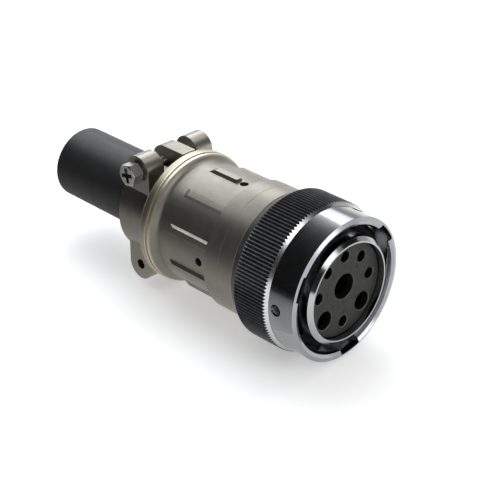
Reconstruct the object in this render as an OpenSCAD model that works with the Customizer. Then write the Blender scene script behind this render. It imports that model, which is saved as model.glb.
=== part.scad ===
// Circular bayonet cable plug: nine socket contacts, a knurled coupling ring, a straight ribbed endbell
// and a two-saddle cable clamp on a rubber sleeve. X runs along the plug out of its mating front and Z is up.
// The origin is on the axis, in the plane of the coupling ring's front edge. All sizes are in millimetres.

/* [Plug shell] */
// Barrel diameter
barrel_od = 33.2; // [30:0.1:38]
// Wall of the barrel
barrel_wall = 1.55; // [1.2:0.05:2]
// How far the barrel stands ahead of the ring's front edge
barrel_proud = 1.5; // [1.3:0.1:2.4]
// Length of the bevel on the barrel's nose
nose_len = 1.05; // [0.4:0.05:1.25]
// Flat that the bevel leaves at the barrel's front
nose_flat = 0.45; // [0.2:0.05:0.8]
// Rise of the ring's journal above the barrel
journal_rise = 0.4; // [0.3:0.05:0.8]
// Rise of the rear thread above the journal
thread_rise = 1; // [0.8:0.05:1.6]
// Length of the shell's shoulder
shoulder_len = 6; // [4:0.1:8]
// Length of the thread behind the shoulder
thread_len = 7; // [6.5:0.1:8]
// Step of the ledge between the insert and the grommet
ledge_step = 0.7; // [0.5:0.05:0.8]
// Thickness of the ledge
ledge_t = 2; // [1:0.1:3]

/* [Coupling ring] */
// Gap round the barrel for the mating shell
mate_gap = 2.85; // [2.4:0.05:4]
// Wall of the bright front of the ring
ring_wall = 2.85; // [2.6:0.05:4]
// Wall of the ring under the grip
seat_wall = 0.9; // [0.7:0.05:1.2]
// Length of the bright front of the ring
ring_front = 9.1; // [8.6:0.1:12]
// How far the ring's front face stands ahead of its outer edge
ring_nose = 0.5; // [0.2:0.1:1]
// Width of the ring's front bevel, measured across the face
ring_bevel = 1.3; // [0.6:0.1:1.6]
// How far the ring's front face slopes back to the mouth of its bore
face_drop = 0.5; // [0.1:0.05:0.8]
// Width of the bevel at the mouth of the bore, measured across the face
mouth_w = 0.55; // [0.3:0.05:0.8]
// Length of the bevel at the mouth of the bore
mouth_len = 1.4; // [0.4:0.1:3]
// Length of the rib inside the ring's rear end
rib_len = 4.8; // [4:0.1:6]
// Depth of the bayonet ramps
ramp_depth = 2.1; // [1.5:0.05:2.3]
// Width of a ramp along the axis
ramp_w = 3.9; // [3:0.1:4.2]
// Turn of a ramp from its entry to its detent, in degrees
ramp_turn = 97; // [80:1:105]
// Width of a ramp's entry slot in the front face
entry_w = 7.6; // [4.5:0.1:9]
// Detent hole diameter
detent_d = 3.7; // [2.5:0.1:4]
// Detent hole's distance behind the ring's front edge
detent_back = 6.3; // [5.6:0.1:6.5]

/* [Grip] */
// Rise of the knurl's tips above the bright front of the ring
grip_rise = 1.2; // [0.8:0.1:2]
// Length of the grip
grip_len = 16.3; // [14:0.1:20]
// Number of knurl teeth round the grip
teeth = 132; // [90:1:140]
// Depth of the knurl
tooth_depth = 0.55; // [0.3:0.05:0.6]
// Length of the smooth taper at the grip's rear end
grip_taper = 4; // [2:0.1:5]
// Wall of the grip at the small end of the taper
grip_lip = 0.5; // [0.4:0.05:1]

/* [Insert and contacts] */
// How far the insert's face lies behind the barrel's front
insert_recess = 2; // [0.5:0.1:3]
// Length of the insert
insert_len = 23.5; // [20:0.1:26]
// Entry hole of the large contact
large_d = 8; // [7:0.1:8.4]
// Entry hole of a power contact
power_d = 5.9; // [5:0.1:6.6]
// Entry hole of a signal contact
signal_d = 3.55; // [3:0.05:4]
// Wall of the insert outside the power contacts
insert_edge = 0.8; // [0.7:0.05:1.2]
// Rise of the large contact above the axis
large_rise = 1; // [0:0.1:1.2]
// Wall of a socket
socket_wall = 0.5; // [0.3:0.05:0.6]
// Depth of an entry hole ahead of its socket
entry_depth = 2.5; // [1.5:0.1:4]
// Length of the grommet
grommet_len = 9; // [8:0.1:10]
// Length of the wire holes behind the sockets
wire_hole_len = 2.3; // [1.5:0.1:4]

/* [Spring pack] */
// Thickness of the thrust washer
washer_t = 0.8; // [0.5:0.1:1]
// Height of the wave spring as fitted
spring_h = 3; // [2.4:0.1:3.4]
// Thickness of the wave spring's strip
spring_t = 0.45; // [0.3:0.05:0.6]
// Number of waves round the spring
waves = 4; // [3:1:6]
// Thickness of the retaining ring
snap_t = 1; // [0.8:0.1:1.2]
// Depth of the retaining ring's groove in the barrel
snap_groove = 0.7; // [0.5:0.05:0.8]
// Thickness of the face seal ahead of the retaining ring
seal_t = 1.8; // [1:0.1:2.2]

/* [Endbell] */
// Plain wall of the endbell over its thread
bell_wall = 1; // [0.9:0.05:2]
// Step behind the endbell's thread, for the grommet's follower
bell_ledge = 0.8; // [0.6:0.05:1.2]
// Length from the endbell's front to its rear flange
bell_len = 30.4; // [27:0.1:36]
// Rise of the endbell's front band above its wall
band_rise = 1.7; // [1.2:0.05:2]
// Length of the front band
band_len = 5.8; // [4:0.1:6.6]
// Rise of the rear flange above the wall
flange_rise = 2.2; // [1.8:0.05:2.6]
// Thickness of the rear flange
flange_t = 3.2; // [2.8:0.1:4]
// Wall of the neck behind the flange
neck_wall = 4.4; // [3.6:0.05:4.8]
// Length of the neck
neck_len = 3.2; // [2.4:0.1:4.6]
// Number of raised ribs round the endbell
ribs = 10; // [6:2:12]
// Rise of the ribs above the wall
rib_rise = 0.9; // [0.85:0.05:1.5]
// Width of a rib at its top
rib_w = 1.8; // [1.3:0.1:2.4]
// Length of the slope at a rib's rear end
rib_lead = 1.8; // [0.8:0.1:3]
// Distance of the ribs' rear ends from the flange
rib_gap = 7.6; // [6.5:0.1:10]
// Diameter of the four radial holes
vent_d = 2.7; // [2:0.1:3.2]

/* [Cable sleeve and clamp] */
// Sleeve diameter
sleeve_od = 23.5; // [21:0.1:24]
// Sleeve wall
sleeve_wall = 2.25; // [1.5:0.05:3]
// Length of sleeve behind the endbell's neck
sleeve_out = 48.7; // [30:0.1:70]
// Wall of the clamp's cuff
cuff_wall = 4.6; // [4:0.05:5.2]
// Length of the cuff
cuff_len = 11.8; // [10.6:0.1:14]
// Radius of a clamp lug's round end
lug_r = 5; // [4:0.05:5.2]
// How far the clamp's lugs stand above the rear flange
lug_over = 0.1; // [0:0.05:1]
// Distance of the inner face of a saddle's lug from the middle plane
lug_in = 7; // [6.5:0.1:8.5]
// Thickness of a saddle's lug
lug_t = 6.4; // [5:0.1:7]
// Width of the endbell's own lug between the saddles
bell_lug_w = 5.2; // [4.6:0.1:7]
// Gap between the edge of a saddle and the endbell's lug
saddle_gap = 1.8; // [1:0.05:2]
// Screw diameter
screw_d = 3; // [2.5:0.1:3.4]
// Width of the screw's hexagon across its flats
hex_af = 6.4; // [5.2:0.1:7]
// Height of the screw's head
head_h = 3.6; // [2.6:0.1:4]
// How far the screw's tip stays inside the far lug
tip_inset = 2; // [0.2:0.1:3]
// Thickness of a lock washer
lock_t = 0.8; // [0.5:0.1:1.2]

/* [Fits] */
// Clearance between pieces that are fitted together
fit = 0.05; // [0.02:0.01:0.08]
// Clearance between faces that move past each other
run = 0.15; // [0.1:0.01:0.2]
// Travel of the coupling ring against its spring
float_travel = 0.8; // [0.4:0.1:1]

/* [Hidden] */
$fn = 96;
eps = 0.01;
// How far a cutter runs on past the face that it opens
past = 1;

signal_names = ["signal_socket_1", "signal_socket_2", "signal_socket_3",
                "signal_socket_4", "signal_socket_5", "signal_socket_6"];
power_names = ["power_socket_1", "power_socket_2"];

// Small features
shell_bevel = 0.5;
hole_bevel = 0.25;
follower_t = 0.7;
follower_lip = 1.4;
spring_inset = 0.3;
snap_opening = 24;
seal_d = 1.5;
seat_rise = 0.2;
flange_round = 0.7;
flange_line = 0.35;
flange_bead = 0.9;
bead_step = 0.3;
cove_r = 2.6;
band_bevel = 0.3;
joint_bevel = 0.04;
rib_draft = 0.6;
rib_bevel = 0.8;
vent_gap = 0.9;
vent_step = 0.4;
collar_rise = 3;
collar_t = 2;
cuff_bevel = 0.8;
clamp_gap = 0.3;
head_turn = 12;
head_bevel = 0.1;
head_slope = 2;
slot_w = 1.3;
slot_depth = 1.2;
slot_share = 0.75;
lock_inset = 0.1;
lock_opening = 0.8;
crimp_depth = 7;
crimp_share = 0.6;
wire_share = 0.7;
socket_depth = 15;
cove_sweep = 75;
cove_steps = 8;
round_steps = 5;
ramp_steps = 8;
wave_steps = 96;
ramps = 3;
first_detent = 90;
vents = 4;

// Diameters, from the barrel outwards and then from the sleeve outwards
shell_bore = barrel_od - 2 * barrel_wall;
ledge_bore = shell_bore - 2 * ledge_step;
seat_d = barrel_od + 2 * seat_rise;
journal_d = barrel_od + 2 * journal_rise;
thread_d = journal_d + 2 * thread_rise;
ring_bore = barrel_od + 2 * mate_gap;
grip_seat = ring_bore + 2 * seat_wall;
ramp_od = ring_bore + 2 * ramp_depth;
ring_od = ring_bore + 2 * ring_wall;
grip_od = ring_od + 2 * grip_rise;
grip_small = grip_seat + 2 * grip_lip;
bell_od = thread_d + 2 * bell_wall;
bell_bore = thread_d - 2 * bell_ledge;
band_od = bell_od + 2 * band_rise;
rib_od = bell_od + 2 * rib_rise;
flange_od = bell_od + 2 * flange_rise;
neck_od = sleeve_od + 2 * fit + 2 * neck_wall;
cuff_od = sleeve_od + 2 * run + 2 * cuff_wall;
contact_pitch = shell_bore / 2 - 2 * fit - insert_edge - socket_wall - power_d / 2;

// Stations across the clamp
screw_z = flange_od / 2 + lug_over - lug_r;
lug_out = lug_in + lug_t;
saddle_y = bell_lug_w / 2 + saddle_gap;

// Stations along the axis, from the front to the rear
barrel_x = barrel_proud;
insert_x = barrel_x - insert_recess;
socket_x = insert_x - entry_depth;
insert_end = insert_x - insert_len;
ledge_x = insert_end - run;
ledge_end = ledge_x - ledge_t;
grommet_x = ledge_end - run;
grommet_end = grommet_x - grommet_len;
socket_end = grommet_end + wire_hole_len;
grip_x = -ring_front;
ring_end = grip_x - grip_len;
shoulder_x = ring_end - run;
shoulder_end = shoulder_x - shoulder_len;
shell_end = shoulder_end - thread_len;
rib_x = ring_end + rib_len;
washer_x = rib_x + run + washer_t;
spring_x = washer_x + fit;
snap_x = spring_x + spring_h + fit;
seal_x = snap_x + snap_t + fit;
bell_x = shoulder_end - fit;
bell_step = shell_end - follower_t - 2 * fit;
band_end = bell_x - band_len;
flange_x = bell_x - bell_len;
flange_end = flange_x - flange_t;
neck_end = flange_end - neck_len;
sleeve_end = neck_end - sleeve_out;
vent_x = bell_step - vent_d / 2 - vent_step;
lug_x = neck_end - clamp_gap - lug_r;
cuff_x = neck_end - clamp_gap;
cuff_end = cuff_x - cuff_len;

// Contact positions: each outer contact's angle from the top, turning towards -Y
signal_angles = [0, 41, 84, 180, -84, -41];
power_angles = [132, -132];

// A solid of revolution about the plug's axis from [radius, x] points
module turned(profile) {
    rotate([0, 90, 0])
        rotate_extrude()
            polygon(profile);
}

// A plain round bar on the axis between two stations
module bar(d, x0, x1) {
    translate([min(x0, x1), 0, 0])
        rotate([0, 90, 0])
            cylinder(d = d, h = abs(x1 - x0));
}

// A plain ring on the axis between two stations
module collar(od, id, x0, x1) {
    turned([[id / 2, x0], [od / 2, x0], [od / 2, x1], [id / 2, x1]]);
}

// Children moved out to a radius and turned about the axis, from the top towards -Y
module around(angle, radius) {
    rotate([angle, 0, 0])
        translate([0, 0, radius])
            children();
}

// Points of an arc about [r, x], for revolved profiles
function arc(r, x, radius, from, to, steps) =
    [for (i = [0 : steps])
        let (a = from + (to - from) * i / steps)
            [r + radius * cos(a), x + radius * sin(a)]];

// A closed band swept through rings of four corners
module swept(sections) {
    n = len(sections);
    polyhedron(
        [for (s = sections) each s],
        [for (i = [0 : n - 1], k = [0 : 3])
            let (next = (i + 1) % n, side = (k + 1) % 4)
                [4 * i + k, 4 * i + side, 4 * next + side, 4 * next + k]]);
}

// Four corners of a band's section at an angle about the axis
function section(angle, r0, r1, x0, x1) =
    [for (c = [[r0, x0], [r0, x1], [r1, x1], [r1, x0]])
        [c[1], -c[0] * sin(angle), c[0] * cos(angle)]];

// Plug shell: barrel, ring journal, shoulder as wide as the endbell's band, rear thread and inner ledge
module plug_shell() {
    color("#a9a49a")
        difference() {
            turned([
                [0, shell_end], [thread_d / 2 - shell_bevel, shell_end],
                [thread_d / 2, shell_end + shell_bevel], [thread_d / 2, shoulder_end],
                [band_od / 2 - joint_bevel, shoulder_end],
                [band_od / 2, shoulder_end + joint_bevel], [band_od / 2, shoulder_x - band_bevel],
                [band_od / 2 - band_bevel, shoulder_x], [journal_d / 2, shoulder_x],
                [journal_d / 2, rib_x + float_travel + run], [seat_d / 2, rib_x + float_travel + run],
                [seat_d / 2, seal_x + seal_t], [barrel_od / 2, seal_x + seal_t],
                [barrel_od / 2, barrel_x - nose_len], [shell_bore / 2 + nose_flat, barrel_x],
                [0, barrel_x]]);
            bar(shell_bore, ledge_x, barrel_x + past);
            bar(shell_bore, shell_end - past, ledge_end);
            bar(ledge_bore, ledge_end - past, ledge_x + past);
            collar(seat_d + 2 * past, seat_d - 2 * snap_groove, snap_x - fit, snap_x + snap_t + fit);
            seal_groove();
        }
}

// Groove for the endbell's seal, beside the shoulder
module seal_groove() {
    collar(thread_d + 2 * past, thread_d - 2 * seal_d - 2 * fit,
           shoulder_end - seal_d - 2 * fit, shoulder_end);
}

// Holes for one contact through the insert or the grommet
module contact_hole(d, x0, x1) {
    bar(d + 2 * socket_wall + 2 * fit, x0, x1);
}

// Children once for each contact, with its entry diameter in $d
module each_contact() {
    translate([0, 0, large_rise]) {
        $d = large_d;
        children();
    }
    for (a = power_angles)
        translate([0, -contact_pitch * sin(a), contact_pitch * cos(a)]) {
            $d = power_d;
            children();
        }
    for (a = signal_angles)
        translate([0, -contact_pitch * sin(a), contact_pitch * cos(a)]) {
            $d = signal_d;
            children();
        }
}

// Resilient insert that carries the sockets
module socket_insert() {
    r = shell_bore / 2 - fit;
    color("#565850")
        difference() {
            turned([[0, insert_end], [r, insert_end], [r, insert_x - shell_bevel],
                    [r - shell_bevel, insert_x], [0, insert_x]]);
            each_contact() {
                contact_hole($d, insert_end - past, socket_x + fit);
                bar($d, socket_x, insert_x + past);
                translate([insert_x - hole_bevel, 0, 0])
                    rotate([0, 90, 0])
                        cylinder(d1 = $d, d2 = $d + 4 * hole_bevel, h = 2 * hole_bevel);
            }
        }
}

// Rubber grommet behind the ledge, sealing the wires
module wire_grommet() {
    color("#6b4a3a")
        difference() {
            bar(shell_bore - 2 * fit, grommet_end, grommet_x);
            each_contact() {
                contact_hole($d, socket_end - fit, grommet_x + past);
                bar(wire_share * $d, grommet_end - past, socket_end);
            }
        }
}

// Flanged ring that the endbell presses on the grommet
module grommet_follower() {
    color("#b0aca2")
        difference() {
            union() {
                bar(thread_d, shell_end - fit - follower_t, shell_end - fit);
                bar(shell_bore - 2 * fit, shell_end - fit - eps, grommet_end - fit);
            }
            bar(shell_bore - 2 * follower_lip, shell_end - follower_t - past, grommet_end + past);
        }
}

// One socket contact: a front bore for the pin and a rear bore for the wire
module socket(d) {
    color("#b89a55")
        difference() {
            bar(d + 2 * socket_wall, socket_end, socket_x);
            bar(d - 2 * hole_bevel, socket_x - socket_depth, socket_x + past);
            bar(crimp_share * d, socket_end - past, socket_end + crimp_depth);
        }
}

module placed_socket(d, angle, radius) {
    translate([0, -radius * sin(angle), radius * cos(angle)])
        socket(d);
}

module centre_socket() {
    placed_socket(large_d, 0, large_rise);
}

module power_socket(i) {
    placed_socket(power_d, power_angles[i], contact_pitch);
}

module signal_socket(i) {
    placed_socket(signal_d, signal_angles[i], contact_pitch);
}

// A ramp's cutter: an entry slot through the front face, then a helix of short runs back to the detent
module ramp_cut(detent_angle) {
    r0 = ring_bore / 2 - past;
    h = ring_od - ring_bore;
    drop = detent_back - ramp_w / 2;
    step = ramp_turn / ramp_steps;
    run_len = ramp_od * tan(step / 2) + run;
    slope = atan(drop / (PI / 180 * ramp_turn * ramp_od / 2));
    entry_len = ring_nose + past + ramp_w;
    intersection() {
        bar(ramp_od, -detent_back - ramp_w, ring_nose + past);
        union() {
            around(detent_angle + ramp_turn, r0 + h / 2)
                translate([entry_len / 2 - ramp_w, 0, 0])
                    cube([entry_len, entry_w, h], center = true);
            for (i = [0.5 : ramp_steps])
                around(detent_angle + ramp_turn - step * i, r0 + h / 2)
                    translate([-ramp_w / 2 - drop * i / ramp_steps, 0, 0])
                        rotate([0, 0, slope])
                            cube([ramp_w, run_len, h], center = true);
        }
    }
    around(detent_angle, r0)
        translate([-detent_back, 0, 0])
            cylinder(d = detent_d, h = h);
}

// Coupling ring: bright front, seat for the grip, rear rib on the journal and three bayonet ramps
module coupling_ring() {
    mouth_x = ring_nose - face_drop;
    color("#c9cac8")
        difference() {
            turned([
                [journal_d / 2 + fit, ring_end], [grip_seat / 2, ring_end], [grip_seat / 2, grip_x],
                [ring_od / 2, grip_x], [ring_od / 2, 0], [ring_od / 2 - ring_bevel, ring_nose],
                [ring_bore / 2 + mouth_w, mouth_x], [ring_bore / 2, mouth_x - mouth_len],
                [ring_bore / 2, rib_x], [journal_d / 2 + fit, rib_x]]);
            for (i = [0 : ramps - 1])
                ramp_cut(first_detent + 360 / ramps * i);
        }
}

// Knurled grip pressed on the ring. The trimming cones run on past the teeth's tips.
module grip_sleeve() {
    tip = grip_od / 2;
    taper_past = past * grip_taper / (tip - grip_small / 2);
    color("#1d1e20")
        difference() {
            intersection() {
                translate([ring_end, 0, 0])
                    rotate([0, 90, 0])
                        linear_extrude(grip_len)
                            polygon([for (i = [0 : 2 * teeth - 1])
                                let (r = tip - tooth_depth * (i % 2), a = 180 / teeth * (i + 0.5))
                                    [r * cos(a), r * sin(a)]]);
                turned([[0, ring_end], [grip_small / 2, ring_end],
                        [tip + past, ring_end + grip_taper + taper_past],
                        [tip + past, grip_x - grip_rise - past],
                        [tip - grip_rise, grip_x], [0, grip_x]]);
            }
            bar(grip_seat + 2 * fit, ring_end - past, grip_x + past);
        }
}

// Thrust washer between the ring's rib and the wave spring
module thrust_washer() {
    color("#9d9b96")
        collar(ring_bore - 2 * spring_inset, journal_d + 2 * spring_inset, washer_x - washer_t, washer_x);
}

// Wave spring that keeps the ring back
module wave_spring() {
    swing = (spring_h - spring_t) / 2;
    middle = spring_x + spring_h / 2;
    r0 = journal_d / 2 + 2 * spring_inset;
    r1 = ring_bore / 2 - 2 * spring_inset;
    color("#8d8f93")
        swept([for (i = [0 : wave_steps - 1])
            let (a = -360 / wave_steps * i, x = middle + swing * cos(waves * a))
                section(a, r0, r1, x - spring_t / 2, x + spring_t / 2)]);
}

// Open retaining ring in the barrel's groove
module retaining_ring() {
    od = ring_bore - 4 * spring_inset;
    color("#8a8880")
        difference() {
            collar(od, seat_d - 2 * snap_groove + 2 * fit, snap_x, snap_x + snap_t);
            rotate([0, 90, 0])
                rotate_extrude(angle = snap_opening)
                    translate([seat_d / 2 - snap_groove - past, snap_x - past])
                        square([od, snap_t + 2 * past]);
        }
}

// Rubber seal for the mating shell's edge, seated on the retaining ring
module face_seal() {
    color("#2a2a2a")
        collar(ring_bore - 4 * spring_inset, seat_d + 2 * fit, seal_x, seal_x + seal_t);
}

// One raised rib, still square at its ends
module rib(front) {
    rear = flange_x + rib_gap;
    foot = bell_od / 2 - past;
    top = rib_od / 2 + past;
    foot_w = rib_w + 2 * rib_draft * (rib_rise + past);
    top_w = rib_w - 2 * rib_draft * past;
    translate([rear, 0, 0])
        rotate([90, 0, 90])
            linear_extrude(front - rear)
                polygon([[-foot_w / 2, foot], [foot_w / 2, foot], [top_w / 2, top], [-top_w / 2, top]]);
}

// All ribs, trimmed to their diameter and sloped at the rear. A rib in line with a hole stops behind it.
module rib_ring() {
    rear = flange_x + rib_gap;
    r = rib_od / 2;
    intersection() {
        for (i = [0 : ribs - 1])
            let (a = 360 / ribs * i, at_hole = a % (360 / vents) == 0)
                rotate([a, 0, 0])
                    rib(at_hole ? vent_x - vent_d / 2 - vent_gap : band_end + past);
        turned([[0, rear], [r - rib_bevel, rear], [r, rear + rib_lead],
                [r, band_end + past], [0, band_end + past]]);
    }
}

// Side outline of a clamp lug: a round end about the screw and a block that runs to x and z limits
module lug_side(x_front, z_low) {
    translate([lug_x, screw_z])
        circle(r = lug_r);
    translate([lug_x, z_low])
        square([x_front - lug_x, screw_z - z_low + lug_r]);
}

// A lug between two planes across the plug
module lug(y0, y1) {
    translate([0, y1, 0])
        rotate([90, 0, 0])
            linear_extrude(y1 - y0)
                children();
}

// A round cutter for a clamp screw
module screw_cut(d, y0, y1) {
    translate([lug_x, y0, screw_z])
        rotate([-90, 0, 0])
            cylinder(d = d, h = y1 - y0);
}

// Endbell: threaded front band, ribbed wall, rear flange, neck and the two lugs between the saddles
module endbell() {
    fr = flange_od / 2;
    br = bell_od / 2;
    bead = fr - bead_step;
    color("#aaa498")
        difference() {
            union() {
                turned(concat(
                    [[0, neck_end], [neck_od / 2, neck_end], [neck_od / 2, flange_end]],
                    arc(fr - flange_round, flange_end + flange_round, flange_round, -90, 0, round_steps),
                    [[fr, flange_x - flange_line], [fr - flange_line, flange_x - flange_line],
                     [fr - flange_line, flange_x], [bead, flange_x], [bead, flange_x + flange_bead]],
                    arc(br + cove_r, flange_x + flange_bead + cove_r, cove_r,
                        180 + cove_sweep, 180, cove_steps),
                    [[br, band_end], [band_od / 2 - band_bevel, band_end],
                     [band_od / 2, band_end + band_bevel], [band_od / 2, bell_x - joint_bevel],
                     [band_od / 2 - joint_bevel, bell_x], [0, bell_x]]));
                rib_ring();
                for (a = [0, 180])
                    rotate([a, 0, 0])
                        lug(-bell_lug_w / 2, bell_lug_w / 2)
                            lug_side(flange_end + eps, screw_z - lug_r);
            }
            bar(thread_d + 2 * fit, bell_step, bell_x + past);
            bar(bell_bore, flange_x, bell_x);
            bar(sleeve_od + 2 * fit, lug_x - lug_r - past, bell_x);
            for (i = [0 : vents - 1])
                rotate([360 / vents * i, 0, 0])
                    translate([vent_x, 0, bell_bore / 2 - past])
                        cylinder(d = vent_d, h = bell_od);
            for (a = [0, 180])
                rotate([a, 0, 0])
                    screw_cut(screw_d + 2 * run, -bell_lug_w, bell_lug_w);
        }
}

// Round seal in the groove beside the shoulder
module endbell_seal() {
    color("#2b2b2b")
        rotate([0, 90, 0])
            rotate_extrude()
                translate([thread_d / 2 - seal_d / 2, shoulder_end - seal_d / 2 - fit])
                    circle(d = seal_d);
}

// Rubber cable sleeve with a collar inside the endbell
module cable_sleeve() {
    r = sleeve_od / 2;
    front = flange_x + collar_t;
    color("#1b1c1d")
        difference() {
            turned([[0, sleeve_end], [r - shell_bevel, sleeve_end], [r, sleeve_end + shell_bevel],
                    [r, flange_x + fit], [r + collar_rise, flange_x + fit],
                    [r + collar_rise, front], [0, front]]);
            bar(sleeve_od - 2 * sleeve_wall, sleeve_end - past, front + past);
        }
}

// One saddle, on the -Y side: half a cuff with a clearance lug above and a threaded lug below
module saddle() {
    color("#a49e93")
        difference() {
            union() {
                intersection() {
                    turned([[0, cuff_end], [cuff_od / 2 - cuff_bevel, cuff_end],
                            [cuff_od / 2, cuff_end + cuff_bevel], [cuff_od / 2, cuff_x], [0, cuff_x]]);
                    translate([cuff_end - past, -cuff_od, -cuff_od])
                        cube([cuff_len + 2 * past, cuff_od - saddle_y, 2 * cuff_od]);
                }
                for (side = [0, 1])
                    mirror([0, 0, side])
                        lug(-lug_out, -lug_in)
                            saddle_lug();
            }
            bar(sleeve_od + 2 * run, cuff_end - past, cuff_x + lug_r);
            for (side = [0, 1])
                mirror([0, 0, side])
                    screw_cut(screw_d + 2 * run, -lug_out - past, 0);
        }
}

// Side outline of a saddle's lug, standing on the cuff
module saddle_lug() {
    translate([lug_x, screw_z])
        circle(r = lug_r);
    translate([lug_x - lug_r, 0])
        square([2 * lug_r, screw_z]);
}

module left_saddle() {
    saddle();
}

module right_saddle() {
    rotate([180, 0, 0])
        saddle();
}

// Hexagon head of a clamp screw, standing on Z = 0, with its front corners bevelled
module hex_head() {
    face_d = hex_af - 2 * head_bevel;
    intersection() {
        cylinder(d = hex_af / cos(30), h = head_h, $fn = 6);
        cylinder(d1 = face_d + 2 * head_slope * head_h, d2 = face_d, h = head_h);
    }
}

// Clamp screw from the -Y side: hexagon head with a cross recess, and a plain shank
module clamp_screw() {
    head_y = -lug_out - lock_t;
    color("#c6c6c2")
        difference() {
            union() {
                translate([lug_x, head_y, screw_z])
                    rotate([90, 0, 0])
                        rotate([0, 0, head_turn])
                            hex_head();
                screw_cut(screw_d, head_y - past, lug_out - tip_inset);
            }
            for (turn = [0, 90])
                translate([lug_x, head_y - head_h, screw_z])
                    rotate([0, turn - head_turn, 0])
                        cube([slot_w, 2 * slot_depth, slot_share * hex_af], center = true);
        }
}

module top_screw() {
    clamp_screw();
}

module bottom_screw() {
    rotate([180, 0, 0])
        clamp_screw();
}

// Split lock washer under a screw's head
module lock_washer() {
    color("#8f8f8b")
        difference() {
            screw_cut(hex_af - 2 * lock_inset, -lug_out - lock_t, -lug_out);
            screw_cut(screw_d + 2 * run, -lug_out - lock_t - past, -lug_out + past);
            translate([lug_x, -lug_out - lock_t / 2, screw_z + hex_af / 2])
                cube([lock_opening, 2 * lock_t, hex_af], center = true);
        }
}

module top_lock_washer() {
    lock_washer();
}

module bottom_lock_washer() {
    rotate([180, 0, 0])
        lock_washer();
}

plug_shell();
socket_insert();
wire_grommet();
grommet_follower();
centre_socket();
for (i = [0 : len(power_names) - 1])
    power_socket(i);
for (i = [0 : len(signal_names) - 1])
    signal_socket(i);
coupling_ring();
grip_sleeve();
thrust_washer();
wave_spring();
retaining_ring();
face_seal();
endbell();
endbell_seal();
cable_sleeve();
left_saddle();
right_saddle();
top_screw();
bottom_screw();
top_lock_washer();
bottom_lock_washer();
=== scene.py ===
# Circular bayonet cable plug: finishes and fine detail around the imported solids, all in metres
import math

import bmesh
import bpy
from mathutils import Matrix, Vector


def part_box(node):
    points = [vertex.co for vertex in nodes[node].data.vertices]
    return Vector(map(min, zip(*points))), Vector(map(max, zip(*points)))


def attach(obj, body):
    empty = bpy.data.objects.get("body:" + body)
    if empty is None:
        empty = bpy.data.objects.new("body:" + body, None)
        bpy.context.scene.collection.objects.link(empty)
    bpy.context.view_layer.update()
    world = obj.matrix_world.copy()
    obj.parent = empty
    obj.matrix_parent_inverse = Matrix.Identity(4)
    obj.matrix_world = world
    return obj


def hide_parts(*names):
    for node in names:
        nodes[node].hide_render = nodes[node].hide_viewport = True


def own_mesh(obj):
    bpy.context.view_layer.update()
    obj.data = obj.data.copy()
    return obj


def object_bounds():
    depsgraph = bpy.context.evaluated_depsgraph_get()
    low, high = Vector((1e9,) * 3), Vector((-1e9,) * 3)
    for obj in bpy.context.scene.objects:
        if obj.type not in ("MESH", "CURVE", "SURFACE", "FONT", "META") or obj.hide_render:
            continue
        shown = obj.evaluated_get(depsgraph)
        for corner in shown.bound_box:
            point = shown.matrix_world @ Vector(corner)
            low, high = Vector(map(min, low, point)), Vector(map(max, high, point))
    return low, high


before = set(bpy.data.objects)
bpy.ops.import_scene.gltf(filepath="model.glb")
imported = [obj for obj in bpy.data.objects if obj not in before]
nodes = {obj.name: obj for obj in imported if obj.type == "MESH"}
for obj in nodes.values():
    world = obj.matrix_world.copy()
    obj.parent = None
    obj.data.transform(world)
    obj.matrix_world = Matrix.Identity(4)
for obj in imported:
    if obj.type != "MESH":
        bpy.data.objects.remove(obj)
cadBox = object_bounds()
mm = 0.001
print("frame loaded with", len(nodes), "nodes")

# Noise behind the finishes. Its values crowd in the middle, so that part is spread over the whole range.
mottleNoise = {"Detail": 3.0, "Roughness": 0.55}
mottleSpread = {"From Min": 0.3, "From Max": 0.7}
reliefNoise = {"Detail": 2.0, "Roughness": 0.5}


def linear(hexColour):
    # sRGB hex to the linear colour that a shader socket takes
    parts = [int(hexColour[i:i + 2], 16) / 255 for i in (1, 3, 5)]
    return [p / 12.92 if p <= 0.04045 else ((p + 0.055) / 1.055) ** 2.4 for p in parts] + [1.0]


def addNode(tree, kind, inputs=None, **settings):
    # a node with its settings, and a value or a link for each named or numbered input
    node = tree.nodes.new(kind)
    for name, value in settings.items():
        setattr(node, name, value)
    for socket, source in (inputs or {}).items():
        if isinstance(source, bpy.types.NodeSocket):
            tree.links.new(source, node.inputs[socket])
        else:
            node.inputs[socket].default_value = source
    return node


def patternScale(sizeMm):
    # noise scale on Object coordinates, in metres, for a feature of this size
    return 1 / (sizeMm * mm)


def newMaterial(name, **shaderInputs):
    material = bpy.data.materials.new(name)
    material.use_nodes = True
    tree = material.node_tree
    tree.nodes.clear()
    shader = addNode(tree, "ShaderNodeBsdfPrincipled",
                     {socket.replace("_", " "): value for socket, value in shaderInputs.items()})
    addNode(tree, "ShaderNodeOutputMaterial", {"Surface": shader.outputs["BSDF"]})
    place = addNode(tree, "ShaderNodeTexCoord").outputs["Object"]
    return material, tree, shader, place


def axialPlace(tree, place):
    # distance along the plug's axis and distance from it
    along = addNode(tree, "ShaderNodeSeparateXYZ", {0: place}).outputs["X"]
    flat = addNode(tree, "ShaderNodeVectorMath", {0: place, 1: (0, 1, 1)}, operation="MULTIPLY")
    radius = addNode(tree, "ShaderNodeVectorMath", {0: flat.outputs[0]}, operation="LENGTH")
    return along, radius.outputs["Value"]


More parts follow.
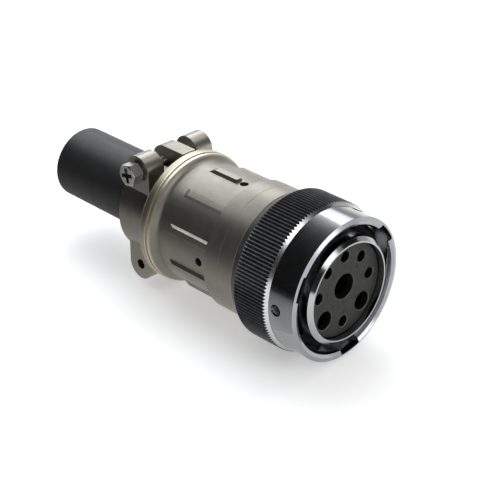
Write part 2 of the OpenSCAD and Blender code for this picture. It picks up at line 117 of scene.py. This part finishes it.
def between(tree, value, limitsMm, softMm):
    # 1 where a distance lies between two limits, fading over softMm outside them
    low, high = limitsMm
    rise = addNode(tree, "ShaderNodeMapRange",
                   {"Value": value, "From Min": (low - softMm) * mm, "From Max": low * mm},
                   interpolation_type="SMOOTHSTEP")
    fall = addNode(tree, "ShaderNodeMapRange",
                   {"Value": value, "From Min": high * mm, "From Max": (high + softMm) * mm,
                    "To Min": 1.0, "To Max": 0.0}, interpolation_type="SMOOTHSTEP")
    both = addNode(tree, "ShaderNodeMath", {0: rise.outputs[0], 1: fall.outputs[0]}, operation="MULTIPLY")
    return both.outputs[0]


def mottled(tree, place, sizeMm, low=0.0, high=1.0):
    # a noise of this grain size, mapped from low to high
    noise = addNode(tree, "ShaderNodeTexNoise",
                    {"Vector": place, "Scale": patternScale(sizeMm), **mottleNoise})
    spread = addNode(tree, "ShaderNodeMapRange",
                     {"Value": noise.outputs["Fac"], "To Min": low, "To Max": high, **mottleSpread})
    return spread.outputs[0]


def baseFinish(tree, place, look):
    # a finish is a colour and a roughness: here blotches of two colours, and smoother and rougher patches
    blotch = mottled(tree, place, look["blotchMm"])
    colour = addNode(tree, "ShaderNodeMix", {0: blotch, 6: linear(look["dark"]), 7: linear(look["light"])},
                     data_type="RGBA").outputs[2]
    return colour, mottled(tree, place, look["patchMm"], *look["rough"])


def layOver(tree, finish, mask, colour, rough=None):
    # a second finish where the mask is 1. One with no roughness of its own keeps the first one's.
    under, underRough = finish
    over = addNode(tree, "ShaderNodeMix", {0: mask, 6: under, 7: linear(colour)}, data_type="RGBA").outputs[2]
    if rough is None:
        return over, underRough
    return over, addNode(tree, "ShaderNodeMix", {0: mask, 2: underRough, 3: rough}).outputs[0]


def applyFinish(tree, shader, finish):
    colour, rough = finish
    tree.links.new(colour, shader.inputs["Base Color"])
    tree.links.new(rough, shader.inputs["Roughness"])


def relief(tree, shader, pattern, look):
    # a fine noise relief on the shader's normal
    noise = addNode(tree, "ShaderNodeTexNoise",
                    {"Vector": pattern, "Scale": patternScale(look["grainMm"]), **reliefNoise})
    bump = addNode(tree, "ShaderNodeBump",
                   {"Height": noise.outputs["Fac"], "Distance": look["grainDepthMm"] * mm,
                    "Strength": look["grainStrength"]})
    tree.links.new(bump.outputs["Normal"], shader.inputs["Normal"])


# Electroless nickel over fine-blasted aluminium: warm grey with soft broad highlights. The grain is drawn
# coarser than a real blast leaves it, so that it shows.
satinLook = {
    "light": "#9a968d", "dark": "#8e8a81", "blotchMm": 9.0, "rough": (0.4, 0.46), "patchMm": 1.6,
    "grainMm": 0.4, "grainDepthMm": 0.006, "grainStrength": 0.5, "softMm": 0.25,
}
# The barrel's nose is polished and mirrors what stands round it. Inside the ring it has painted shade.
shellLook = {
    **satinLook, "polished": "#a9aaab", "polishedMm": (-1.8, 10.0), "polishedRough": 0.13,
    "gapShade": "#3c3b38", "gapShadeMm": (-14.0, -2.8),
}
# The bell's rear flange has a paler turned rim, with two painted highlight lines round it along its edges
bellLook = {
    **satinLook, "rim": "#b8b09e", "rimMm": (-65.3, -61.0), "rimRadiusMm": (20.7, 30.0), "rimRough": 0.4,
    "line": "#e6deca", "linesMm": [(-62.85, -62.38), (-61.85, -61.05)], "lineRough": 0.42, "lineSoftMm": 0.06,
}
# The clamp's saddles and the follower were tumbled, so they are a little smoother
clampLook = {**satinLook, "rough": (0.33, 0.36)}


def satinNickel(name, look):
    material, tree, shader, place = newMaterial(name, Metallic=1.0)
    finish = baseFinish(tree, place, look)
    along, radius = axialPlace(tree, place)
    if "rim" in look:
        inFlange = between(tree, along, look["rimMm"], look["softMm"])
        atEdge = between(tree, radius, look["rimRadiusMm"], look["softMm"])
        rim = addNode(tree, "ShaderNodeMath", {0: inFlange, 1: atEdge}, operation="MULTIPLY").outputs[0]
        finish = layOver(tree, finish, rim, look["rim"], look["rimRough"])
        # a painted highlight along each edge of the rim
        for lineMm in look["linesMm"]:
            onHighlightLine = between(tree, along, lineMm, look["lineSoftMm"])
            line = addNode(tree, "ShaderNodeMath", {0: onHighlightLine, 1: atEdge}, operation="MULTIPLY").outputs[0]
            finish = layOver(tree, finish, line, look["line"], look["lineRough"])
    if "polished" in look:
        nose = between(tree, along, look["polishedMm"], look["softMm"])
        finish = layOver(tree, finish, nose, look["polished"], look["polishedRough"])
        # painted shade on the barrel where the ring covers it
        gapShade = between(tree, along, look["gapShadeMm"], look["softMm"])
        finish = layOver(tree, finish, gapShade, look["gapShade"])
    applyFinish(tree, shader, finish)
    relief(tree, shader, place, look)
    return material


# Bright-turned and polished aluminium: a soft mirror, with faint lathe lines round the axis, drawn coarser
# than real ones so that they show. The bore is a paler colour.
turnedLook = {
    "light": "#9ea0a3", "dark": "#929497", "blotchMm": 9.0, "rough": (0.11, 0.15), "patchMm": 9.0,
    "grainMm": 0.35, "grainDepthMm": 0.003, "grainStrength": 0.35,
    "bore": "#e2e3e4", "boreMm": (0.0, 19.5), "softMm": 0.1,
}


def turnedBright(name, look):
    material, tree, shader, place = newMaterial(name, Metallic=1.0)
    along, radius = axialPlace(tree, place)
    inBore = between(tree, radius, look["boreMm"], look["softMm"])
    applyFinish(tree, shader, layOver(tree, baseFinish(tree, place, look), inBore, look["bore"]))
    turning = addNode(tree, "ShaderNodeCombineXYZ", {"X": along, "Y": radius}).outputs[0]
    relief(tree, shader, turning, look)
    return material


# Black anodised aluminium: dull black with a sheen, grey along the knurl's tips as rubbed wear and a painted
# highlight, and cut back to bright metal on the front bevel
anodisedLook = {
    "light": "#232428", "dark": "#191a1c", "blotchMm": 1.6, "rough": (0.27, 0.36), "patchMm": 0.3,
    "ior": 1.5, "gloss": 0.45,
    "wornAndSheen": "#808286", "tipMm": 23.5, "tipBandMm": 0.16, "tipPatchMm": 3.2, "tipShare": (0.45, 1.0),
    "bright": "#c9c9c7", "brightRough": 0.22, "bevelMm": (-10.7, -9.0), "bevelFacing": (0.45, 0.6),
    "softMm": 0.1,
}


def blackAnodised(name, look):
    material, tree, shader, place = newMaterial(name, IOR=look["ior"], Specular_IOR_Level=look["gloss"])
    finish = baseFinish(tree, place, look)
    along, radius = axialPlace(tree, place)
    # the knurl's tips: grey that is partly wear and partly a painted highlight
    tip = addNode(tree, "ShaderNodeMapRange",
                  {"Value": radius, "From Min": (look["tipMm"] - look["tipBandMm"]) * mm,
                   "From Max": look["tipMm"] * mm}).outputs[0]
    uneven = mottled(tree, place, look["tipPatchMm"], *look["tipShare"])
    rubbedAndSheen = addNode(tree, "ShaderNodeMath", {0: tip, 1: uneven}, operation="MULTIPLY").outputs[0]
    finish = layOver(tree, finish, rubbedAndSheen, look["wornAndSheen"])
    facing = addNode(tree, "ShaderNodeTexCoord").outputs["Normal"]
    forward = addNode(tree, "ShaderNodeSeparateXYZ", {0: facing}).outputs["X"]
    least, full = look["bevelFacing"]
    onBevel = addNode(tree, "ShaderNodeMapRange",
                      {"Value": forward, "From Min": least, "From Max": full}).outputs[0]
    nearFront = between(tree, along, look["bevelMm"], look["softMm"])
    cut = addNode(tree, "ShaderNodeMath", {0: onBevel, 1: nearFront}, operation="MULTIPLY").outputs[0]
    applyFinish(tree, shader, layOver(tree, finish, cut, look["bright"], look["brightRough"]))
    tree.links.new(cut, shader.inputs["Metallic"])
    return material


# Moulded elastomers, matt: a soft skin with little gloss, slightly mottled
rubberLook = {"ior": 1.5, "gloss": 0.45, "rough": (0.5, 0.6), "grainStrength": 0.5}
# The insert's holes have a smoother chamfer at the mouth, painted paler as a highlight, and painted shade
# behind it
insertLook = {
    **rubberLook, "light": "#2c2d28", "dark": "#252621", "blotchMm": 4.8, "patchMm": 1.8, "gloss": 0.28,
    "grainMm": 0.6, "grainDepthMm": 0.006, "mouth": "#5a5b53", "mouthMm": (-0.75, -0.53), "mouthRough": 0.3,
    "holeShade": "#0e0e0d", "holeShadeMm": (-100.0, -0.75), "softMm": 0.02,
}
# The numbers on it are a darker, finer rubber
markLook = {
    **rubberLook, "light": "#161614", "dark": "#121210", "blotchMm": 4.8, "patchMm": 1.8, "gloss": 0.28,
    "grainMm": 0.6, "grainDepthMm": 0.004,
}
# The cable sleeve is the smoothest, black with a faint sheen
sleeveLook = {
    **rubberLook, "light": "#212122", "dark": "#1c1c1d", "blotchMm": 6.4, "patchMm": 2.4,
    "rough": (0.42, 0.5), "grainMm": 0.8, "grainDepthMm": 0.006,
}
# The seals are plain black
sealLook = {
    **rubberLook, "light": "#222223", "dark": "#1a1a1b", "blotchMm": 4.0, "patchMm": 1.5,
    "grainMm": 0.5, "grainDepthMm": 0.008,
}
# The wire grommet is a dull red-brown
grommetLook = {
    **rubberLook, "light": "#7c5442", "dark": "#6b4637", "blotchMm": 4.0, "patchMm": 1.5,
    "rough": (0.6, 0.7), "grainMm": 0.5, "grainDepthMm": 0.012,
}


def mouldedRubber(name, look):
    material, tree, shader, place = newMaterial(name, IOR=look["ior"], Specular_IOR_Level=look["gloss"])
    finish = baseFinish(tree, place, look)
    if "mouth" in look:
        along = addNode(tree, "ShaderNodeSeparateXYZ", {0: place}).outputs["X"]
        # the mouth's chamfer: a painted highlight in its paler colour, with a truly smoother surface
        mouth = between(tree, along, look["mouthMm"], look["softMm"])
        finish = layOver(tree, finish, mouth, look["mouth"], look["mouthRough"])
        # painted shade inside the holes, darker behind the mouth
        holeShade = between(tree, along, look["holeShadeMm"], look["softMm"])
        finish = layOver(tree, finish, holeShade, look["holeShade"])
    applyFinish(tree, shader, finish)
    relief(tree, shader, place, look)
    return material


# Bright plated steel, with painted shade on the floor of the screws' recesses
screwLook = {
    "light": "#d2d2ce", "dark": "#c2c2be", "blotchMm": 4.0, "rough": (0.24, 0.28), "patchMm": 2.0,
    "grime": "#33322f", "recessMm": 0.15, "recessFacing": 0.9,
}
# Dull spring steel, grey and a little clouded
springSteelLook = {
    "light": "#7d7c78", "dark": "#64635f", "blotchMm": 1.5, "rough": (0.34, 0.44), "patchMm": 0.75,
}
# Plated contacts, painted dark brown for the shade deep in their holes
shadedContactLook = {
    "light": "#4d4433", "dark": "#3a3326", "blotchMm": 2.0, "rough": (0.32, 0.42), "patchMm": 1.0,
}


def plainMetal(name, look):
    material, tree, shader, place = newMaterial(name, Metallic=1.0)
    finish = baseFinish(tree, place, look)
    # painted shade on the recess floor
    if "grime" in look:  # on the floor of a recess, which faces out and lies a little behind the head's face
        sideways = addNode(tree, "ShaderNodeSeparateXYZ", {0: place}).outputs["Y"]
        reach = addNode(tree, "ShaderNodeMath", {0: sideways}, operation="ABSOLUTE").outputs[0]
        facing = addNode(tree, "ShaderNodeTexCoord").outputs["Normal"]
        turned = addNode(tree, "ShaderNodeSeparateXYZ", {0: facing}).outputs["Y"]
        flat = addNode(tree, "ShaderNodeMath", {0: turned}, operation="ABSOLUTE").outputs[0]
        faced = addNode(tree, "ShaderNodeMath", {0: flat, 1: look["recessFacing"]},
                        operation="GREATER_THAN").outputs[0]
        headFace = -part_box("top_screw")[0].y
        behind = addNode(tree, "ShaderNodeMath", {0: reach, 1: headFace - look["recessMm"] * mm},
                         operation="LESS_THAN").outputs[0]
        inRecess = addNode(tree, "ShaderNodeMath", {0: faced, 1: behind}, operation="MULTIPLY").outputs[0]
        finish = layOver(tree, finish, inRecess, look["grime"])
    applyFinish(tree, shader, finish)
    return material


contactNames = ["signal_socket_%d" % number for number in range(1, 7)]
contactNames += ["power_socket_1", "power_socket_2", "centre_socket"]
screwMetal = plainMetal("platedSteelScrew", screwLook)
springMetal = plainMetal("springSteel", springSteelLook)
finishes = [
    (satinNickel("satinNickelShell", shellLook), ["plug_shell"]),
    (satinNickel("satinNickelBell", bellLook), ["endbell"]),
    (satinNickel("satinNickelClamp", clampLook), ["left_saddle", "right_saddle", "grommet_follower"]),
    (turnedBright("turnedBrightRing", turnedLook), ["coupling_ring"]),
    (blackAnodised("blackAnodisedGrip", anodisedLook), ["grip_sleeve"]),
    (mouldedRubber("insertRubber", insertLook), ["socket_insert"]),
    (mouldedRubber("sleeveRubber", sleeveLook), ["cable_sleeve"]),
    (mouldedRubber("sealRubber", sealLook), ["face_seal", "endbell_seal"]),
    (mouldedRubber("grommetRubber", grommetLook), ["wire_grommet"]),
    (screwMetal, ["top_screw", "bottom_screw"]),
    (springMetal, ["thrust_washer", "wave_spring", "retaining_ring"]),
    (springMetal, ["top_lock_washer", "bottom_lock_washer"]),
    (plainMetal("shadedContactPlating", shadedContactLook), contactNames),
]
for material, names in finishes:
    for name in names:
        nodes[name].data.materials.clear()
        nodes[name].data.materials.append(material)
print("materials set on", sum(len(names) for material, names in finishes), "nodes")


def startTree(name, sizeNames):
    # a Geometry Nodes tree with a named input for each size
    tree = bpy.data.node_groups.new(name, "GeometryNodeTree")
    for sizeName in sizeNames:
        tree.interface.new_socket(name=sizeName, in_out="INPUT", socket_type="NodeSocketFloat")
    tree.interface.new_socket(name="Geometry", in_out="OUTPUT", socket_type="NodeSocketGeometry")
    return tree, addNode(tree, "NodeGroupInput").outputs


def endTree(tree, shape, material):
    real = addNode(tree, "GeometryNodeRealizeInstances", {"Geometry": shape})
    metal = addNode(tree, "GeometryNodeSetMaterial", {"Geometry": real.outputs[0], "Material": material})
    addNode(tree, "NodeGroupOutput", {"Geometry": metal.outputs[0]})


def meshFromTree(name, tree, sizes):
    # the tree's result at these sizes, as a plain mesh with no modifier left
    piece = bpy.data.objects.new(name, bpy.data.meshes.new(name))
    bpy.context.scene.collection.objects.link(piece)
    modifier = piece.modifiers.new(name, "NODES")
    modifier.node_group = tree
    for socket in tree.interface.items_tree:
        if socket.in_out == "INPUT":
            modifier[socket.identifier] = sizes[socket.name]
    seen = piece.evaluated_get(bpy.context.evaluated_depsgraph_get())
    mesh = bpy.data.meshes.new_from_object(seen)
    piece.modifiers.clear()
    piece.data = mesh
    return piece


# Thread of a clamp screw: a low ridge wound round the plain shank, from the tip towards the head
threadLook = {
    "sizesMm": {"Radius": 1.5, "Ridge": 0.11, "Pitch": 0.7, "Length": 22.0}, "stepsPerTurn": 24, "sides": 4,
}


def threadTree(start, tilt):
    tree, size = startTree("screwThread", threadLook["sizesMm"])
    turns = addNode(tree, "ShaderNodeMath", {0: size["Length"], 1: size["Pitch"]}, operation="DIVIDE")
    helix = addNode(tree, "GeometryNodeCurveSpiral",
                    {"Resolution": threadLook["stepsPerTurn"], "Rotations": turns.outputs[0],
                     "Start Radius": size["Radius"], "End Radius": size["Radius"], "Height": size["Length"]})
    section = addNode(tree, "GeometryNodeCurvePrimitiveCircle",
                      {"Resolution": threadLook["sides"], "Radius": size["Ridge"]})
    ridge = addNode(tree, "GeometryNodeCurveToMesh",
                    {"Curve": helix.outputs[0], "Profile Curve": section.outputs[0], "Fill Caps": True})
    placed = addNode(tree, "GeometryNodeTransform",
                     {"Geometry": ridge.outputs[0], "Translation": start, "Rotation": (tilt, 0, 0)})
    endTree(tree, placed.outputs[0], screwMetal)
    return tree


def buildThread(name, screw, body, heading):
    # heading is the way along Y in which the screw's tip points
    low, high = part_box(screw)
    sizes = {size: valueMm * mm for size, valueMm in threadLook["sizesMm"].items()}
    tipY = high.y if heading > 0 else low.y
    start = ((low.x + high.x) / 2, tipY - heading * sizes["Length"], (low.z + high.z) / 2)
    thread = meshFromTree(name, threadTree(start, -heading * math.pi / 2), sizes)
    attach(thread, body)


buildThread("topScrewThread", "top_screw", "left_clamp", 1)
buildThread("bottomScrewThread", "bottom_screw", "right_clamp", -1)
print("threads wound on both clamp screws")

# Wave spring behind the coupling ring: a strip that waves round the shell
springLook = {"waves": 4.0, "stripMm": 0.45, "innerMm": 17.6, "steps": 144, "travelMm": 0.8}


def springTree(sizeNames):
    tree, size = startTree("waveSpring", sizeNames)
    hoop = addNode(tree, "GeometryNodeCurvePrimitiveCircle",
                   {"Resolution": springLook["steps"], "Radius": size["Radius"]})
    share = addNode(tree, "GeometryNodeSplineParameter").outputs["Factor"]
    turns = addNode(tree, "ShaderNodeMath", {0: share, 1: size["Waves"]}, operation="MULTIPLY").outputs[0]
    angle = addNode(tree, "ShaderNodeMath", {0: turns, 1: 2 * math.pi}, operation="MULTIPLY").outputs[0]
    wave = addNode(tree, "ShaderNodeMath", {0: angle}, operation="COSINE").outputs[0]
    rise = addNode(tree, "ShaderNodeMath", {0: wave, 1: size["Swing"]}, operation="MULTIPLY").outputs[0]
    lift = addNode(tree, "ShaderNodeCombineXYZ", {"Z": rise}).outputs[0]
    waved = addNode(tree, "GeometryNodeSetPosition", {"Geometry": hoop.outputs[0], "Offset": lift})
    upright = addNode(tree, "GeometryNodeSetCurveNormal", {"Curve": waved.outputs[0]}, mode="Z_UP")
    section = addNode(tree, "GeometryNodeCurvePrimitiveQuadrilateral",
                      {"Width": size["Width"], "Height": size["Strip"]})
    strip = addNode(tree, "GeometryNodeCurveToMesh",
                    {"Curve": upright.outputs[0], "Profile Curve": section.outputs[0]})
    middle = addNode(tree, "ShaderNodeCombineXYZ", {"X": size["Middle"]}).outputs[0]
    placed = addNode(tree, "GeometryNodeTransform",
                     {"Geometry": strip.outputs[0], "Translation": middle, "Rotation": (0, math.pi / 2, 0)})
    endTree(tree, placed.outputs[0], springMetal)
    return tree


def buildSpring():
    look = springLook
    low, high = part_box("wave_spring")
    strip, inner = look["stripMm"] * mm, look["innerMm"] * mm
    height = high.x - low.x
    sizes = {"Radius": (inner + high.z) / 2, "Width": high.z - inner, "Strip": strip,
             "Swing": (height - strip) / 2, "Middle": (low.x + high.x) / 2, "Waves": look["waves"]}
    spring = meshFromTree("waveSpring", springTree(sizes), sizes)
    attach(spring, "plug")
    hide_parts("wave_spring")
    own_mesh(spring)


buildSpring()
print("wave spring set behind the coupling ring")

# Plain contact numbers moulded on the insert's face, each beside its hole on the side of the axis
numberLook = {
    "heightMm": 1.9, "raisedMm": 0.05, "sunkMm": 0.05, "gapMm": 0.9, "levelMm": 2.0, "mergeMm": 0.0001,
}


def buildNumbers():
    look = numberLook
    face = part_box("socket_insert")[1].x
    toFront = Matrix(((0, 0, 1), (1, 0, 0), (0, 1, 0))).to_4x4()  # text's right to +Y, its top to +Z
    lift = (look["raisedMm"] - look["sunkMm"]) / 2 * mm
    joined = bmesh.new()
    for number, name in enumerate(contactNames, 1):
        low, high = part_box(name)
        centre = (low + high) / 2
        inward = Vector((0, -centre.y, -centre.z))
        if abs(centre.z) <= look["levelMm"] * mm:
            inward.z = 0  # level with a hole at the axis's height
        if name == "centre_socket":
            inward = Vector((0, 0, -1))  # under the middle hole
        away = (high.z - low.z) / 2 + look["gapMm"] * mm
        spot = Vector((face, centre.y, centre.z)) + inward.normalized() * away
        text = bpy.data.curves.new("number", "FONT")
        text.body = str(number)
        text.size = look["heightMm"] * mm
        text.extrude = (look["raisedMm"] + look["sunkMm"]) / 2 * mm
        text.align_x, text.align_y = "CENTER", "CENTER"
        holder = bpy.data.objects.new("number", text)
        bpy.context.scene.collection.objects.link(holder)
        seen = holder.evaluated_get(bpy.context.evaluated_depsgraph_get())
        mesh = bpy.data.meshes.new_from_object(seen)
        mesh.transform(Matrix.Translation(spot + Vector((lift, 0, 0))) @ toFront)
        joined.from_mesh(mesh)
        bpy.data.objects.remove(holder)
    bmesh.ops.remove_doubles(joined, verts=joined.verts, dist=look["mergeMm"] * mm)
    mesh = bpy.data.meshes.new("contactNumbers")
    joined.to_mesh(mesh)
    joined.free()
    mesh.materials.append(mouldedRubber("markRubber", markLook))
    numbers = bpy.data.objects.new("contactNumbers", mesh)
    bpy.context.scene.collection.objects.link(numbers)
    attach(numbers, "plug")


buildNumbers()
print("contact numbers set on the insert")

# Studio: pale floor, pale sky that is hazy at the horizon and has soft lights in it, and black cards that
# give the metal its contrast
studio = {
    "floorSize": 6.0, "floorColour": "#f0f0f0", "floorGlow": 0.36, "cardColour": "#0b0b0c",
    "horizon": 0.62, "zenith": 0.4, "zenithFrom": 0.1, "zenithTo": 0.75,
    "haze": 0.4, "hazeFrom": 0.08, "hazeTo": 0.14,
    "eye": (0.2373, -0.2767, 0.2192), "back": (0.6212, -0.6135, 0.4875),
    "lens": 111.57, "sensor": 36.0, "clip": (0.01, 20),
}
skyLights = {
    "keyLight": {"towards": (-0.6, 0.645, 0.49), "coreDeg": 6, "edgeDeg": 14, "strength": 2.2,
                 "tint": (0.96, 0.99, 1.04)},
    "topLight": {"towards": (-0.66, 0.18, 0.73), "coreDeg": 20, "edgeDeg": 35, "strength": 1.7,
                 "tint": (0.95, 0.99, 1.05)},
    "rearGlow": {"towards": (-0.2, 0.5, 0.83), "coreDeg": 14, "edgeDeg": 34, "strength": 1.35,
                 "tint": (1, 1, 1)},
    "fillLight": {"towards": (0.76, -0.03, 0.65), "coreDeg": 8, "edgeDeg": 19, "strength": 2.2,
                  "tint": (1, 1, 1)},
    "sideLight": {"towards": (0.926, 0.374, 0.05), "coreDeg": 8, "edgeDeg": 14, "strength": 2.4,
                  "tint": (1, 1, 1)},
}
# A card stands square to the line from its aim point. A glow that grows along it fades that end out.
cards = {
    "ringCard": {"aimMm": (-4.5, -14, 17), "towards": (-0.57, -0.235, 0.79), "along": (0, 0.79, 0.61),
                 "distanceMm": 100, "glow": 1.7, "glowMm": (-20, 104), "glowPower": 4.0,
                 "outlineMm": [(-66, 104), (-19, -10), (-19, -60), (-45, -150), (40, -150), (40, 104)]},
    "leftCard": {"aimMm": (-50, -13, 13), "towards": (-0.654, -0.58, 0.29), "along": (0, 0.5, 0.88),
                 "distanceMm": 360, "outlineMm": [(-250, -210), (250, -210), (250, 210), (-250, 210)]},
    "frontCard": {"aimMm": (0, 0, 0), "towards": (0.8, -0.5, 0.22), "along": (0, 0, 1),
                  "distanceMm": 600, "outlineMm": [(-220, -190), (220, -190), (220, 190), (-220, 190)]},
    "backCard": {"aimMm": (0, 0, 0), "towards": (0.5, 0.62, 0.6), "along": (0, 0, 1),
                 "distanceMm": 500, "outlineMm": [(-130, -130), (130, -130), (130, 130), (-130, 130)]},
    "floorCard": {"aimMm": (-88, -96, 0), "towards": (0, 0, -1), "along": (0.68, 0.73, 0),
                  "distanceMm": 23.2, "glow": 0.68, "glowMm": (-90, 100), "glowPower": 1.0,
                  "outlineMm": [(-220, -340), (220, -340), (150, 100), (-150, 100)]},
}


def linkStage(name, mesh, material):
    mesh.materials.append(material)
    piece = bpy.data.objects.new(name, mesh)
    bpy.context.scene.collection.objects.link(piece)
    return piece


def buildFloor():
    half = studio["floorSize"] / 2
    low = cadBox[0].z
    mesh = bpy.data.meshes.new("studioFloor")
    mesh.from_pydata([(-half, -half, low), (half, -half, low), (half, half, low), (-half, half, low)],
                     [], [(0, 1, 2, 3)])
    material = bpy.data.materials.new("paleFloor")
    material.use_nodes = True
    tree = material.node_tree
    tree.nodes.clear()
    matt = addNode(tree, "ShaderNodeBsdfDiffuse", {"Color": linear(studio["floorColour"])}).outputs[0]
    glow = addNode(tree, "ShaderNodeEmission", {"Strength": studio["floorGlow"]}).outputs[0]
    both = addNode(tree, "ShaderNodeAddShader", {0: matt, 1: glow}).outputs[0]
    ray = addNode(tree, "ShaderNodeLightPath").outputs
    direct = addNode(tree, "ShaderNodeMath", {0: ray["Is Camera Ray"], 1: ray["Is Glossy Ray"]},
                     operation="MAXIMUM").outputs[0]
    seen = addNode(tree, "ShaderNodeMath", {0: direct, 1: ray["Is Transmission Ray"]},
                   operation="MAXIMUM").outputs[0]
    pick = addNode(tree, "ShaderNodeMixShader", {0: seen, 1: matt, 2: both}).outputs[0]
    addNode(tree, "ShaderNodeOutputMaterial", {"Surface": pick})
    material.cycles.emission_sampling = "NONE"  # the glow is only seen, it lights nothing
    linkStage("studioFloor", mesh, material)


def buildCards():
    # only reflections see the cards: they shade nothing and the camera looks through them
    for name, look in cards.items():
        towards = Vector(look["towards"]).normalized()
        across = Vector(look["along"]).cross(towards).normalized()
        along = towards.cross(across)
        centre = (Vector(look["aimMm"]) + towards * look["distanceMm"]) * mm
        material, tree, shader, place = newMaterial(
            name, Base_Color=linear(studio["cardColour"]), Roughness=1.0, Emission_Color=(1, 1, 1, 1))
        if "glow" in look:
            reach = addNode(tree, "ShaderNodeVectorMath", {0: place, 1: along},
                            operation="DOT_PRODUCT").outputs["Value"]
            low, high = (centre.dot(along) + end * mm for end in look["glowMm"])
            share = addNode(tree, "ShaderNodeMapRange",
                            {"Value": reach, "From Min": low, "From Max": high}).outputs[0]
            fade = addNode(tree, "ShaderNodeMath", {0: share, 1: look["glowPower"]},
                           operation="POWER").outputs[0]
            glow = addNode(tree, "ShaderNodeMath", {0: fade, 1: look["glow"]},
                           operation="MULTIPLY").outputs[0]
            tree.links.new(glow, shader.inputs["Emission Strength"])
            material.cycles.emission_sampling = "NONE"
        corners = [centre + across * u * mm + along * v * mm for u, v in look["outlineMm"]]
        mesh = bpy.data.meshes.new(name)
        mesh.from_pydata(corners, [], [range(len(corners))])
        card = linkStage(name, mesh, material)
        card.visible_camera = card.visible_diffuse = card.visible_shadow = False


def buildWorld():
    world = bpy.data.worlds.new("studioWorld")
    world.use_nodes = True
    tree = world.node_tree
    tree.nodes.clear()
    heading = addNode(tree, "ShaderNodeTexCoord").outputs["Generated"]
    height = addNode(tree, "ShaderNodeSeparateXYZ", {0: heading}).outputs["Z"]
    level = addNode(tree, "ShaderNodeMapRange",
                    {"Value": height, "From Min": studio["zenithFrom"], "From Max": studio["zenithTo"],
                     "To Min": studio["horizon"], "To Max": studio["zenith"]},
                    interpolation_type="SMOOTHSTEP").outputs[0]
    haze = addNode(tree, "ShaderNodeMapRange",
                   {"Value": height, "From Min": studio["hazeFrom"], "From Max": studio["hazeTo"],
                    "To Min": studio["haze"], "To Max": 0.0}, interpolation_type="SMOOTHSTEP").outputs[0]
    level = addNode(tree, "ShaderNodeMath", {0: level, 1: haze}, operation="ADD").outputs[0]
    for light in skyLights.values():
        near = addNode(tree, "ShaderNodeVectorMath", {0: heading, 1: Vector(light["towards"]).normalized()},
                       operation="DOT_PRODUCT").outputs["Value"]
        spot = addNode(tree, "ShaderNodeMapRange",
                       {"Value": near, "From Min": math.cos(math.radians(light["edgeDeg"])),
                        "From Max": math.cos(math.radians(light["coreDeg"])),
                        "To Min": 0.0, "To Max": light["strength"]},
                       interpolation_type="SMOOTHSTEP").outputs[0]
        tinted = addNode(tree, "ShaderNodeVectorMath", {0: light["tint"], "Scale": spot},
                         operation="SCALE").outputs[0]
        level = addNode(tree, "ShaderNodeVectorMath", {0: level, 1: tinted}, operation="ADD").outputs[0]
    sky = addNode(tree, "ShaderNodeBackground", {"Color": level}).outputs[0]
    addNode(tree, "ShaderNodeOutputWorld", {"Surface": sky})
    bpy.context.scene.world = world


def buildCamera():
    camera = bpy.data.cameras.new("photoCamera")
    camera.lens, camera.sensor_width = studio["lens"], studio["sensor"]
    camera.clip_start, camera.clip_end = studio["clip"]
    cameraObject = bpy.data.objects.new("photoCamera", camera)
    cameraObject.location = studio["eye"]
    cameraObject.rotation_mode = "QUATERNION"
    cameraObject.rotation_quaternion = (-Vector(studio["back"])).to_track_quat("-Z", "Y")
    bpy.context.scene.collection.objects.link(cameraObject)
    bpy.context.scene.camera = cameraObject


buildFloor()
buildCards()
buildWorld()
buildCamera()
bpy.context.scene.view_settings.view_transform = "Standard"
print("studio built with", len(skyLights), "soft lights and", len(cards), "cards")
